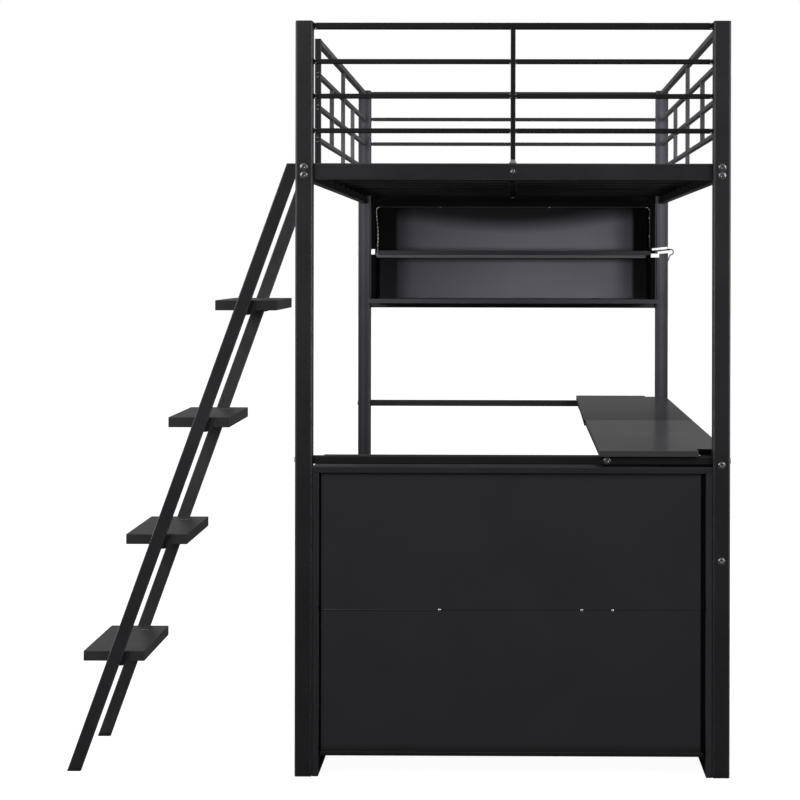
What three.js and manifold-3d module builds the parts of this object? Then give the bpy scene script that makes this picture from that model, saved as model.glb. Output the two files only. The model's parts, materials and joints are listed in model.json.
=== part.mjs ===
// Loft bed with desk: a bolted square-tube steel frame with a raised slatted deck, guard rails,
// a slanted ladder, a full-length desk along one side, a bookcase under the near end, a shelf
// unit hung under the deck at the far end, and an LED strip light with its lead.
//
// Millimetres, +Z up. Inside the group, X runs across the bed from its centre line (the ladder is
// on the -X side, the desk on the +X side), Y runs along it from the near end, Z is up from the
// floor. The group is then shifted so that the origin is under the middle of the whole object.
import * as THREE from 'three';
import { mergeVertices } from 'three/addons/utils/BufferGeometryUtils.js';
import Module from 'manifold-3d';

const wasm = await Module();
wasm.setup();

// Driving dimensions
const WIDTH = 1054;            // over the posts
const LENGTH = 2000;           // over the posts
const HEIGHT = 1830;           // to the top of the posts
const POST = 42;               // square post tube
const WALL = 1.5;              // tube wall
const GAP = 0.3;               // air between pieces that touch
const DECK_TOP = 1487;         // top of the deck rails
const DECK_RAIL = { wide: 20, tall: 40 };
const CROSS_TUBE = 20;         // square cross rails and beams
const DESK_RAIL_TOP = 777;
const BOARD = 15;              // thickness of every board
const BOARD_EDGE = 0.8;        // eased edge of a board
const GUARD = { top: 16, bar: 12, pitch: 84, topCentre: 1820, entryEnd: 370, leftOut: 2 };
const UPRIGHTS = { left: [762, 1130, 1478], right: [515, 970, 1402] };  // along the side guards
const SLAT = { count: 10, pitch: 175, wide: 40, thick: 12 };
const DESK = { inner: 210, outer: 520, seam: 935, notchFrom: 450, notchDeep: 50 };
const BOOKCASE = {
  half: 484.7, front: 4, deep: 310, top: 751.5, bottom: 53.6, middle: 395.5, panelLow: 48.6,
};
const SHELF = { half: 469, front: 1760, deep: 200, bottom: 1111, bottomHalf: 477, middle: 1271 };
const PANEL = 3;               // back panels
const LADDER = { footX: -1072.4, slope: 0.3606, deep: 31, thick: 15, near: 43, far: 404, top: 1488 };
const TREAD = { deep: 150, thick: 25, firstTop: 292, rise: 287, offsets: [-5.3, -4.3, -4.3, 6.7] };
const CAP = { base: 4, stem: 20 };
const LED = { wide: 10, thick: 3, half: 456, low: 1263, high: 1433, corner: 14 };
const CONNECTORS = [             // x from and to, z from and to, on the shelf's front edge
  [-468, -455, 1271.5, 1290.5], [445, 482, 1263.5, 1277.5], [476, 512, 1276.5, 1285.5],
  [455, 511, 1289, 1297],
];
const LEAD = { diameter: 3.5, sides: 8, steps: 80 };
const COIL = { x: 455, y: 1935, outer: 22.75, inner: 15.75, high: 7 };

// Lines that follow from them
const HALF = WIDTH / 2;
const POST_INNER = HALF - POST;              // inner face of a post, across the bed
const SIDE_X = HALF - POST / 2;              // centre line of the side rails
const NEAR_Y = POST / 2;                     // centre line of the near end's rails
const FAR_Y = LENGTH - POST / 2;
const SIDE_FROM = POST + GAP;
const SIDE_TO = LENGTH - POST - GAP;
const DECK_CENTRE = DECK_TOP - DECK_RAIL.tall / 2;
const DECK_LOW = DECK_TOP - DECK_RAIL.tall;
const DESK_TUBE_CENTRE = DESK_RAIL_TOP - CROSS_TUBE / 2;
const ENDS = [{ name: 'near', y: NEAR_Y }, { name: 'far', y: FAR_Y }];
const SIDES = [{ name: 'left', x: -SIDE_X }, { name: 'right', x: SIDE_X }];

const steel = { color: 0x2b2b2e, roughness: 0.45, metalness: 0.55 };
const board = { color: 0x3a3a3d, roughness: 0.6, metalness: 0 };
const panel = { color: 0x323236, roughness: 0.7, metalness: 0 };
const plastic = { color: 0x18181a, roughness: 0.6, metalness: 0 };
const light = { color: 0x9a9a98, roughness: 0.5, metalness: 0 };

const bed = new THREE.Group();

function add(name, geometry, look) {
  const mesh = new THREE.Mesh(geometry, new THREE.MeshStandardMaterial(look));
  mesh.name = name;
  bed.add(mesh);
}

// Booleans

function toSolid(geometry) {
  const bare = geometry.clone();
  bare.deleteAttribute('normal');
  bare.deleteAttribute('uv');
  const welded = mergeVertices(bare, 1e-4);
  const mesh = new wasm.Mesh({
    numProp: 3,
    vertProperties: new Float32Array(welded.attributes.position.array),
    triVerts: new Uint32Array(welded.index.array),
  });
  mesh.merge();
  return new wasm.Manifold(mesh);
}

function toGeometry(solid) {
  const mesh = solid.getMesh();
  const geometry = new THREE.BufferGeometry();
  geometry.setAttribute('position', new THREE.BufferAttribute(mesh.vertProperties, 3));
  geometry.setIndex(new THREE.BufferAttribute(mesh.triVerts, 1));
  return geometry;
}

function join(geometries) {
  return geometries.map(toSolid).reduce((whole, next) => whole.add(next));
}

// Shapes and prisms

function rectangle(cx, cy, wide, tall, radius = 0) {
  const shape = new THREE.Shape();
  const right = cx + wide / 2, left = cx - wide / 2, top = cy + tall / 2, low = cy - tall / 2;
  if (radius === 0) {
    shape.moveTo(left, low).lineTo(right, low).lineTo(right, top).lineTo(left, top).closePath();
    return shape;
  }
  shape.absarc(right - radius, low + radius, radius, -Math.PI / 2, 0);
  shape.absarc(right - radius, top - radius, radius, 0, Math.PI / 2);
  shape.absarc(left + radius, top - radius, radius, Math.PI / 2, Math.PI);
  shape.absarc(left + radius, low + radius, radius, Math.PI, Math.PI * 1.5);
  shape.closePath();
  return shape;
}

function polygon(points) {
  return new THREE.Shape(points.map(([x, y]) => new THREE.Vector2(x, y)));
}

// A prism of a shape drawn in the other two axes: (y, z) for x, (x, z) for y, (x, y) for z.
function prism(shape, axis, from, to, edge = 0, cornerSteps = 2) {
  const geometry = new THREE.ExtrudeGeometry(shape, {
    depth: to - from - 2 * edge,
    curveSegments: cornerSteps,
    bevelEnabled: edge > 0,
    bevelThickness: edge,
    bevelSize: edge,
    bevelOffset: -edge,
    bevelSegments: 1,
  });
  const turn = new THREE.Matrix4();
  if (axis === 'x') {
    turn.makeBasis(new THREE.Vector3(0, 1, 0), new THREE.Vector3(0, 0, 1), new THREE.Vector3(1, 0, 0));
    turn.setPosition(from + edge, 0, 0);
  } else if (axis === 'y') {
    turn.makeBasis(new THREE.Vector3(1, 0, 0), new THREE.Vector3(0, 0, 1), new THREE.Vector3(0, -1, 0));
    turn.setPosition(0, to - edge, 0);
  } else {
    turn.setPosition(0, 0, from + edge);
  }
  return geometry.applyMatrix4(turn);
}

// An open-ended tube along an axis, with rounded corners.
function tube(axis, from, to, cx, cy, wide, tall, wall = WALL) {
  const shape = rectangle(cx, cy, wide, tall, Math.min(wide, tall) * 0.15);
  shape.holes.push(rectangle(cx, cy, wide - 2 * wall, tall - 2 * wall));
  return prism(shape, axis, from, to);
}

function slab(x0, x1, y0, y1, z0, z1) {
  return prism(rectangle((x0 + x1) / 2, (y0 + y1) / 2, x1 - x0, y1 - y0), 'z', z0, z1, BOARD_EDGE);
}

function upright(x0, x1, y0, y1, z0, z1) {
  return prism(rectangle((y0 + y1) / 2, (z0 + z1) / 2, y1 - y0, z1 - z0), 'x', x0, x1, BOARD_EDGE);
}

function sheet(x0, x1, y0, y1, z0, z1) {
  return prism(rectangle((x0 + x1) / 2, (z0 + z1) / 2, x1 - x0, z1 - z0), 'y', y0, y1);
}

// Posts: square tube, closed at the top, standing on plastic caps that plug into it.

function post(x, y) {
  const radius = POST * 0.12;
  const outside = prism(rectangle(x, y, POST, POST, radius), 'z', CAP.base + GAP, HEIGHT, 1);
  const bore = prism(rectangle(x, y, POST - 2 * WALL, POST - 2 * WALL), 'z', 0, HEIGHT - 3);
  return toGeometry(toSolid(outside).subtract(toSolid(bore)));
}

function footCap(x, y) {
  const stem = POST - 2 * WALL - 2 * GAP;
  return toGeometry(join([
    prism(rectangle(x, y, POST, POST, 4), 'z', 0, CAP.base, 1),
    prism(rectangle(x, y, stem, stem, 2), 'z', CAP.base - 1, CAP.base + CAP.stem, 0, 1),
  ]));
}

// Guards: welded grids of square tube. Every bar is hollow, and the hollows join up.

function grid(bars) {
  const wall = 1.2;
  const outside = join(bars.map((b) => prism(
    rectangle(b.cx, b.cy, b.size, b.size, b.size * 0.15), b.axis, b.from, b.to, 0, 1)));
  const inside = join(bars.map((b) => prism(
    rectangle(b.cx, b.cy, b.size - 2 * wall, b.size - 2 * wall), b.axis, b.hollow[0], b.hollow[1])));
  return toGeometry(outside.subtract(inside));
}

// Heights of the rails of a guard: a thicker one on top and three thin ones at an even pitch.
function guardRails() {
  const thin = [1, 2, 3].map((i) => ({ z: GUARD.topCentre - 2 - i * GUARD.pitch, size: GUARD.bar }));
  return [{ z: GUARD.topCentre, size: GUARD.top }, ...thin];
}

function endGuard(y) {
  const ends = POST_INNER - GAP;
  const rails = guardRails().map(({ z, size }) => ({
    axis: 'x', from: -ends, to: ends, cx: y, cy: z, size, hollow: [-ends - 5, ends + 5],
  }));
  const middle = {
    axis: 'z', from: DECK_TOP + GAP, to: GUARD.topCentre, cx: 0, cy: y, size: GUARD.bar,
    hollow: [DECK_TOP - 5, GUARD.topCentre],
  };
  return grid([...rails, middle]);
}

// A guard along a side: short uprights between the second and the last rail, a full one between.
function sideGuard(x, from, to, uprights, withEndBar) {
  const heights = guardRails();
  const start = withEndBar ? from + GUARD.top / 2 : from;
  const rails = heights.map(({ z, size }) => ({
    axis: 'y', from: start, to, cx: x, cy: z, size, hollow: [withEndBar ? start : from - 5, to + 5],
  }));
  const bars = uprights.map((cy, i) => {
    const full = i === 1;
    const low = full ? DECK_TOP + GAP : heights[3].z;
    const high = full ? GUARD.topCentre : heights[1].z;
    return {
      axis: 'z', from: low, to: high, cx: x, cy, size: GUARD.bar,
      hollow: [full ? low - 5 : low, high],
    };
  });
  if (withEndBar) {
    bars.push({
      axis: 'z', from: DECK_TOP + GAP, to: GUARD.topCentre + GUARD.top / 2, cx: x, cy: start,
      size: GUARD.top, hollow: [DECK_TOP - 5, GUARD.topCentre],
    });
  }
  return grid([...rails, ...bars]);
}

// Deck

function centreBeam() {
  const inner = NEAR_Y + DECK_RAIL.wide / 2 + GAP;
  const plateTop = DECK_TOP - 8;
  const size = CROSS_TUBE;
  const z = DECK_LOW + GAP + size / 2;
  const plates = [inner, LENGTH - inner - 3].map((y) => (
    sheet(-15, 15, y, y + 3, DECK_LOW + GAP, plateTop)));
  const beam = join([prism(rectangle(0, z, size, size, 3), 'y', inner, LENGTH - inner), ...plates]);
  const bore = rectangle(0, z, size - 2 * WALL, size - 2 * WALL);
  return toGeometry(beam.subtract(toSolid(prism(bore, 'y', inner - 5, LENGTH - inner + 5))));
}

function slats() {
  const reach = SIDE_X - DECK_RAIL.wide / 2 - GAP;
  const z = DECK_LOW + CROSS_TUBE + 2 * GAP + SLAT.thick / 2;
  const first = LENGTH / 2 - SLAT.pitch * (SLAT.count - 1) / 2;
  for (let i = 0; i < SLAT.count; i++) {
    const y = first + i * SLAT.pitch;
    add(`slat_${i + 1}`, tube('x', -reach, reach, y, z, SLAT.wide, SLAT.thick, 1.2), steel);
  }
}

// Desk: two boards end to end, each cut back round the post at its outer corner.

function deskBoard(from, to, notchAtFrom) {
  const cutFrom = notchAtFrom ? from : to - DESK.notchDeep;
  const cutTo = cutFrom + DESK.notchDeep;
  const outline = notchAtFrom
    ? [[DESK.inner, from], [DESK.notchFrom, from], [DESK.notchFrom, cutTo], [DESK.outer, cutTo],
      [DESK.outer, to], [DESK.inner, to]]
    : [[DESK.inner, from], [DESK.outer, from], [DESK.outer, cutFrom], [DESK.notchFrom, cutFrom],
      [DESK.notchFrom, to], [DESK.inner, to]];
  const low = DESK_RAIL_TOP + GAP;
  return prism(polygon(outline), 'z', low, low + BOARD, BOARD_EDGE);
}

// Bookcase under the near end, open towards the far end, with a two-piece back facing out.

function bookcase() {
  const { half, front, deep, top, bottom, middle, panelLow } = BOOKCASE;
  const back = front + deep;
  const under = top - BOARD - GAP;
  const inside = half - BOARD - GAP;
  const panelAt = front + 8;
  const shelfAt = panelAt + PANEL + GAP;
  const seam = middle + BOARD / 2;
  add('bookcase_side_left', upright(-half, -half + BOARD, front, back, 0, under), board);
  add('bookcase_side_right', upright(half - BOARD, half, front, back, 0, under), board);
  add('bookcase_top', slab(-half, half, front, back, top - BOARD, top), board);
  add('bookcase_middle', slab(-inside, inside, shelfAt, back, middle, middle + BOARD), board);
  add('bookcase_bottom', slab(-inside, inside, shelfAt, back, bottom, bottom + BOARD), board);
  add('bookcase_back_upper', sheet(-inside, inside, panelAt, panelAt + PANEL, seam + GAP, under), panel);
  add('bookcase_back_lower', sheet(-inside, inside, panelAt, panelAt + PANEL, panelLow, seam - GAP), panel);
}

// Shelf unit hung under the deck at the far end, open towards the near end.

function hangingShelf() {
  const { half, front, deep, bottom, bottomHalf, middle } = SHELF;
  const back = front + deep;
  const low = bottom + BOARD + GAP;
  const high = DECK_LOW - GAP;
  const under = high - BOARD - GAP;
  const inside = half - BOARD - GAP;
  const onRail = LENGTH - 10;
  const reach = POST_INNER - GAP;
  const railTall = 18;
  add('shelf_side_left', upright(-half, -half + BOARD, front, back, low, under), board);
  add('shelf_side_right', upright(half - BOARD, half, front, back, low, under), board);
  add('shelf_top', slab(-half, half, front, back, high - BOARD, high), board);
  add('shelf_middle', slab(-inside, inside, front, back, middle, middle + BOARD), board);
  add('shelf_bottom', slab(-bottomHalf, bottomHalf, front, onRail, bottom, bottom + BOARD), board);
  add('shelf_back', sheet(-reach, reach, back + GAP, back + GAP + PANEL, low, high), panel);
  const railZ = bottom - GAP - railTall / 2;
  add('shelf_support_rail', tube('x', -reach, reach, FAR_Y, railZ, CROSS_TUBE, railTall), steel);
}

// Ladder: two slanted rectangular stringers cut level at both ends, with a welded bracket at each
// tread and a hook plate to the deck rail, and four flat treads.

const stringerX = (z) => LADDER.footX + LADDER.slope * z;
const stringerHalf = LADDER.deep / 2 * Math.hypot(1, LADDER.slope);
const ladderCapBase = 6;

function slanted(half, low, high) {
  return polygon([
    [stringerX(low) - half, low], [stringerX(low) + half, low],
    [stringerX(high) + half, high], [stringerX(high) - half, high],
  ]);
}

const treadTop = (i) => TREAD.firstTop + i * TREAD.rise;

function treadBracket(i) {
  const top = treadTop(i) - 1;
  const under = treadTop(i) - TREAD.thick;
  const x = stringerX(under + TREAD.thick / 2);
  const reach = 29, round = 16;
  const shape = new THREE.Shape();
  shape.moveTo(x - 12, top);
  shape.lineTo(x - 12, under - 11);
  shape.lineTo(x + reach - round, under - 11);
  shape.absarc(x + reach - round, under - 11 + round, round, -Math.PI / 2, 0);
  shape.lineTo(x + reach, top);
  shape.closePath();
  return { shape, x, under };
}

function stringer(y, inward) {
  const outer = y + LADDER.thick;
  const low = ladderCapBase + GAP;
  const face = inward > 0 ? outer : y;
  const span = (from, to) => [Math.min(face + inward * from, face + inward * to),
    Math.max(face + inward * from, face + inward * to)];
  const parts = [prism(slanted(stringerHalf, low, LADDER.top), 'y', y, outer, 1.5)];
  for (let i = 0; i < TREAD.offsets.length; i++) {
    const { shape, x, under } = treadBracket(i);
    parts.push(prism(shape, 'y', ...span(-1, 2.4)));
    parts.push(sheet(x - 12, x + 27, ...span(0, 26), under - GAP - 2.5, under - GAP));
  }
  const railFace = -SIDE_X - DECK_RAIL.wide / 2 - GAP;
  const middle = y + LADDER.thick / 2;
  parts.push(sheet(stringerX(DECK_CENTRE), railFace, middle - 3, middle + 3, DECK_LOW + 5, DECK_TOP - 3));
  parts.push(sheet(railFace - 3, railFace, Math.max(middle - 15, SIDE_FROM), middle + 15,
    DECK_LOW + 3, DECK_TOP - 1));
  const bore = prism(slanted(stringerHalf - 1.8, 0, LADDER.top + 10), 'y', y + WALL, outer - WALL);
  const plateEdge = stringerX(DECK_CENTRE) - 0.5;
  const keep = sheet(plateEdge, railFace, middle - 3, middle + 3, DECK_LOW + 5, DECK_TOP - 3);
  return toGeometry(join(parts).subtract(toSolid(bore)).add(toSolid(keep)));
}

function ladderCap(y) {
  const stem = slanted(stringerHalf - 1.8 - GAP, ladderCapBase - 1, ladderCapBase + 14);
  return toGeometry(join([
    prism(slanted(stringerHalf, 0, ladderCapBase), 'y', y, y + LADDER.thick, 1),
    prism(stem, 'y', y + WALL + GAP, y + LADDER.thick - WALL - GAP),
  ]));
}

function ladder() {
  add('ladder_stringer_near', stringer(LADDER.near, 1), steel);
  add('ladder_stringer_far', stringer(LADDER.far, -1), steel);
  add('ladder_foot_near', ladderCap(LADDER.near), plastic);
  add('ladder_foot_far', ladderCap(LADDER.far), plastic);
  const from = LADDER.near + LADDER.thick + 2.4 + GAP;
  const to = LADDER.far - 2.4 - GAP;
  TREAD.offsets.forEach((offset, i) => {
    const top = treadTop(i);
    const x = stringerX(top - TREAD.thick / 2) + offset;
    const half = TREAD.deep / 2;
    add(`ladder_tread_${i + 1}`, slab(x - half, x + half, from, to, top - TREAD.thick, top), board);
  });
}

// LED strip light round the upper bay of the hanging shelf, with its connectors at the lower
// right, and its lead, which loops out, passes behind the far right post and reaches the floor.

function ledStrip() {
  const { wide, thick, half, low, high, corner } = LED;
  const back = SHELF.front - GAP;
  const middle = (low + high) / 2;
  const layer = (shape, proud) => prism(shape, 'y', back - thick - proud, back);
  const ring = toSolid(layer(rectangle(0, middle, 2 * half, high - low, corner), 0))
    .subtract(toSolid(prism(rectangle(0, middle, 2 * (half - wide), high - low - 2 * wide,
      corner - wide / 2), 'y', back - thick - 5, back + 5)))
    .subtract(toSolid(sheet(half - wide - 5, half + 5, back - thick - 5, back + 5,
      low + wide + 0.5, low + 26)));
  const connectors = CONNECTORS.map(([x0, x1, z0, z1]) => (
    toSolid(layer(rectangle((x0 + x1) / 2, (z0 + z1) / 2, x1 - x0, z1 - z0), 2.5))));
  return toGeometry(connectors.reduce((all, next) => all.add(next), ring));
}

// Points along the lead's centre line, from the connector to where it runs into the coil.
const leadPoints = [
  [512.5, 1756, 1290], [518, 1756.5, 1290.6], [523.5, 1760, 1290.4], [528, 1772, 1287.5],
  [531, 1790, 1282.5], [533, 1815, 1278.5], [534, 1850, 1276.5], [533.8, 1900, 1274.5],
  [533, 1945, 1272], [532, 1980, 1266], [530, 1999, 1255], [523, 2007.5, 1240], [514, 2008.5, 1221],
  [509, 2007, 1196], [508, 2005.5, 1150], [508, 2005, 1050], [508, 2005, 850],
  [508, 2005, 650], [508, 2005, 450], [508, 2005, 250], [508, 2005.5, 120],
  [508, 2006, 60], [506, 2007, 27], [499, 2007.5, 8], [489, 2007.5, 2.2],
  [480, 2003, 2], [476.5, 1993, 2], [476, 1975, 2], [476, 1947.8, 2],
];

function lead() {
  const points = leadPoints.map((p) => new THREE.Vector3(...p));
  const path = new THREE.CatmullRomCurve3(points, false, 'centripetal');
  const section = new THREE.Shape();
  section.absarc(0, 0, LEAD.diameter / 2, 0, Math.PI * 2);
  return new THREE.ExtrudeGeometry(section, {
    steps: LEAD.steps, curveSegments: LEAD.sides / 2, extrudePath: path,
  });
}

function coil() {
  const { x, y, outer, inner, high } = COIL;
  const profile = [[inner, 0.25], [outer, 0.25], [outer, high + 0.25], [inner, high + 0.25], [inner, 0.25]];
  const ring = new THREE.LatheGeometry(profile.map(([r, z]) => new THREE.Vector2(r, z)), 32);
  return ring.rotateX(Math.PI / 2).translate(x, y, 0);
}

// A small flat plug that lies beside the coil: moulded grip, metal shell and a tapered tail.
function plug() {
  const x = COIL.x - COIL.outer + LEAD.diameter / 2;
  const tailY = COIL.y + 12.5;
  const z = 4.6;
  const tail = new THREE.CylinderGeometry(3, 1.9, 14, 12).translate(x, tailY + 7, z);
  return toGeometry(join([
    tail,
    prism(rectangle(x, z, 16, 8, 2), 'y', tailY + 13, tailY + 37),
    prism(rectangle(x, z, 12, 4.5), 'y', tailY + 36, tailY + 50),
  ]));
}

for (const end of ENDS) {
  for (const side of SIDES) {
    add(`post_${end.name}_${side.name}`, post(side.x, end.y), steel);
    add(`foot_${end.name}_${side.name}`, footCap(side.x, end.y), plastic);
  }
}
for (const end of ENDS) {
  const reach = POST_INNER - GAP;
  add(`guard_${end.name}`, endGuard(end.y), steel);
  add(`deck_rail_${end.name}`,
    tube('x', -reach, reach, end.y, DECK_CENTRE, DECK_RAIL.wide, DECK_RAIL.tall), steel);
  add(`desk_rail_${end.name}`,
    tube('x', -reach, reach, end.y, DESK_TUBE_CENTRE, CROSS_TUBE, CROSS_TUBE), steel);
}
for (const side of SIDES) {
  add(`deck_rail_${side.name}`,
    tube('y', SIDE_FROM, SIDE_TO, side.x, DECK_CENTRE, DECK_RAIL.wide, DECK_RAIL.tall), steel);
}
add('guard_left', sideGuard(
  -SIDE_X - GUARD.leftOut, GUARD.entryEnd - GUARD.top / 2, SIDE_TO, UPRIGHTS.left, true), steel);
add('guard_right', sideGuard(SIDE_X, SIDE_FROM, SIDE_TO, UPRIGHTS.right, false), steel);
add('deck_centre_beam', centreBeam(), steel);
slats();

const betweenRails = NEAR_Y + CROSS_TUBE / 2 + GAP;
add('desk_rail_wall',
  tube('y', SIDE_FROM, SIDE_TO, SIDE_X, DESK_RAIL_TOP - 20, CROSS_TUBE, 40), steel);
add('desk_beam_inner',
  tube('y', betweenRails, LENGTH - betweenRails, DESK.inner + 20, DESK_TUBE_CENTRE, CROSS_TUBE, CROSS_TUBE),
  steel);
add('lower_stretcher', tube('y', SIDE_FROM, SIDE_TO, SIDE_X, 525, CROSS_TUBE, CROSS_TUBE), steel);
add('desk_board_near', deskBoard(0, DESK.seam - GAP / 2, true), board);
add('desk_board_far', deskBoard(DESK.seam + GAP / 2, LENGTH, false), board);
bookcase();
hangingShelf();
ladder();
add('led_strip', ledStrip(), light);
add('led_lead', lead(), plastic);
add('led_lead_coil', coil(), plastic);
add('led_plug', plug(), plastic);

// The origin goes under the middle of the object's box, which the ladder's caps and the right
// posts bound across the bed.
const leftmost = stringerX(0) - stringerHalf;
bed.position.set(-(leftmost + HALF) / 2, -LENGTH / 2, 0);

const object = new THREE.Group();
object.add(bed);
export default object;
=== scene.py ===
"""Loft bed with desk: the visual model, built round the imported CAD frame.

Places in this file are in millimetres in the bed's own frame: X across the bed from its centre
line (ladder on the -X side, desk on the +X side), Y along it from the near end, Z up from the
floor. at() turns such a place into metres in the row frame, from the posts' own boxes.
"""
import json
import math

import bmesh
import bpy
from mathutils import Matrix, Vector


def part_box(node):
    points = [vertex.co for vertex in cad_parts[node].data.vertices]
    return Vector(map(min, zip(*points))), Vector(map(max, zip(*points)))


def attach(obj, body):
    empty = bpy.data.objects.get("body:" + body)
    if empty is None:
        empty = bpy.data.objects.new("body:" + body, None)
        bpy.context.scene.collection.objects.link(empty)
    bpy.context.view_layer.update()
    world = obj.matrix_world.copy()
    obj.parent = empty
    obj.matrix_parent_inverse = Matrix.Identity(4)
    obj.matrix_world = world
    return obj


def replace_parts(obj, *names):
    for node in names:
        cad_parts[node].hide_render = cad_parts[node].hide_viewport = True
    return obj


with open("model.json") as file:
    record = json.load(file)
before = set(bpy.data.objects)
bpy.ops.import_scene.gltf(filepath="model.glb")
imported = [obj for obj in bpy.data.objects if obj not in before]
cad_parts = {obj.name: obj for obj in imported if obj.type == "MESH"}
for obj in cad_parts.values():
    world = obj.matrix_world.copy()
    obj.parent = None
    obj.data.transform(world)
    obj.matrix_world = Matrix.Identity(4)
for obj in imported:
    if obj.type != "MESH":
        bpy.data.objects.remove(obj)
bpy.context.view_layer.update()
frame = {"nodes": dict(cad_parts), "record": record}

MM = 0.001
NEAR_LEFT, NEAR_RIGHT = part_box("post_near_left"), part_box("post_near_right")
DATUM = Vector(((NEAR_LEFT[0][0] + NEAR_RIGHT[1][0]) / 2, NEAR_LEFT[0][1], 0.0))


def at(x, y, z):
    """A place in the bed's own millimetres, as a point in the row frame in metres."""
    return DATUM + Vector((x, y, z)) * MM


def bed_box(node):
    """A node's lowest and highest corners, in the bed's own millimetres."""
    return [[(value - origin) / MM for value, origin in zip(corner, DATUM)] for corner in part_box(node)]


POST_LOW, POST_HIGH = bed_box("post_far_right")
POST_HALF = round((POST_HIGH[0] - POST_LOW[0]) / 2)
POST_X = round((POST_HIGH[0] + POST_LOW[0]) / 2)
POST_TOP = round(POST_HIGH[2])
BED_LENGTH = round(POST_HIGH[1])
POST_YS = (POST_HALF, BED_LENGTH - POST_HALF)


# Camera

def make_camera():
    """One-point view along the bed, a little above the desk, as the product is usually shown."""
    yaw, pitch, roll = -0.0097, -0.0044, 0.0018
    right = Vector((math.cos(yaw), -math.sin(yaw), 0))
    level = math.cos(pitch)
    ahead = Vector((level * math.sin(yaw), level * math.cos(yaw), math.sin(pitch)))
    up = right.cross(ahead)
    right, up = (right * math.cos(roll) + up * math.sin(roll),
                 up * math.cos(roll) - right * math.sin(roll))
    data = bpy.data.cameras.new("camera")
    data.sensor_width = 36
    data.lens = 89.58
    data.shift_x, data.shift_y = -0.1180, -0.1609
    data.clip_start, data.clip_end = 0.1, 200
    camera = bpy.data.objects.new("camera", data)
    camera.matrix_world = Matrix((
        (right.x, up.x, -ahead.x, 0), (right.y, up.y, -ahead.y, 0),
        (right.z, up.z, -ahead.z, 0), (0, 0, 0, 1)))
    camera.location = at(2.40, -4812.36, 1246.58)
    bpy.context.scene.collection.objects.link(camera)
    bpy.context.scene.camera = camera


make_camera()


# Materials: a small wrapper that makes shader nodes and links what it is given

class Graph:
    def __init__(self, tree):
        self.tree = tree
        tree.nodes.clear()

    def add(self, kind, inputs=None, **attributes):
        node = self.tree.nodes.new("ShaderNode" + kind)
        for key, value in attributes.items():
            setattr(node, key, value)
        for key, value in (inputs or {}).items():
            if isinstance(value, bpy.types.NodeSocket):
                self.tree.links.new(value, node.inputs[key])
            else:
                node.inputs[key].default_value = value
        return node

    def noise(self, vector, scale, detail=2.0, roughness=0.5):
        return self.add("TexNoise", {"Vector": vector, "Scale": scale, "Detail": detail,
                                     "Roughness": roughness}).outputs[0]

    def math(self, operation, a, b=0.0):
        return self.add("Math", {0: a, 1: b}, operation=operation).outputs[0]

    def remap(self, value, low, high, to_low, to_high):
        return self.add("MapRange", {"Value": value, "From Min": low, "From Max": high,
                                     "To Min": to_low, "To Max": to_high}).outputs[0]

    def ramp(self, value, stops):
        """A value looked up between (place, level) stops."""
        low, high = stops[0][0], stops[-1][0]
        node = self.add("ValToRGB", {"Fac": self.remap(value, low, high, 0.0, 1.0)})
        points = node.color_ramp.elements
        points[0].position, points[0].color = 0.0, grey(stops[0][1])
        points[1].position, points[1].color = 1.0, grey(stops[-1][1])
        for place, level in stops[1:-1]:
            point = points.new((place - low) / (high - low))
            point.color = grey(level)
        return node.outputs["Color"]

    def bed_place(self):
        """The shading point in the bed's own millimetres, as three sockets."""
        shifted = self.add("VectorMath", {0: self.add("NewGeometry").outputs["Position"], 1: DATUM},
                           operation="SUBTRACT").outputs[0]
        scaled = self.add("VectorMath", {0: shifted, "Scale": 1 / MM}, operation="SCALE").outputs[0]
        return self.add("SeparateXYZ", {0: scaled}).outputs

    def mix(self, share, a, b):
        node = self.add("Mix", {"Factor": share}, data_type="RGBA")
        for key, value in (("A", a), ("B", b)):
            socket = [s for s in node.inputs if s.name == key and s.type == "RGBA"][0]
            if isinstance(value, bpy.types.NodeSocket):
                self.tree.links.new(value, socket)
            else:
                socket.default_value = value
        return [s for s in node.outputs if s.type == "RGBA"][0]


def grey(value, blue=1.0):
    return (value, value, value * blue, 1.0)


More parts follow.
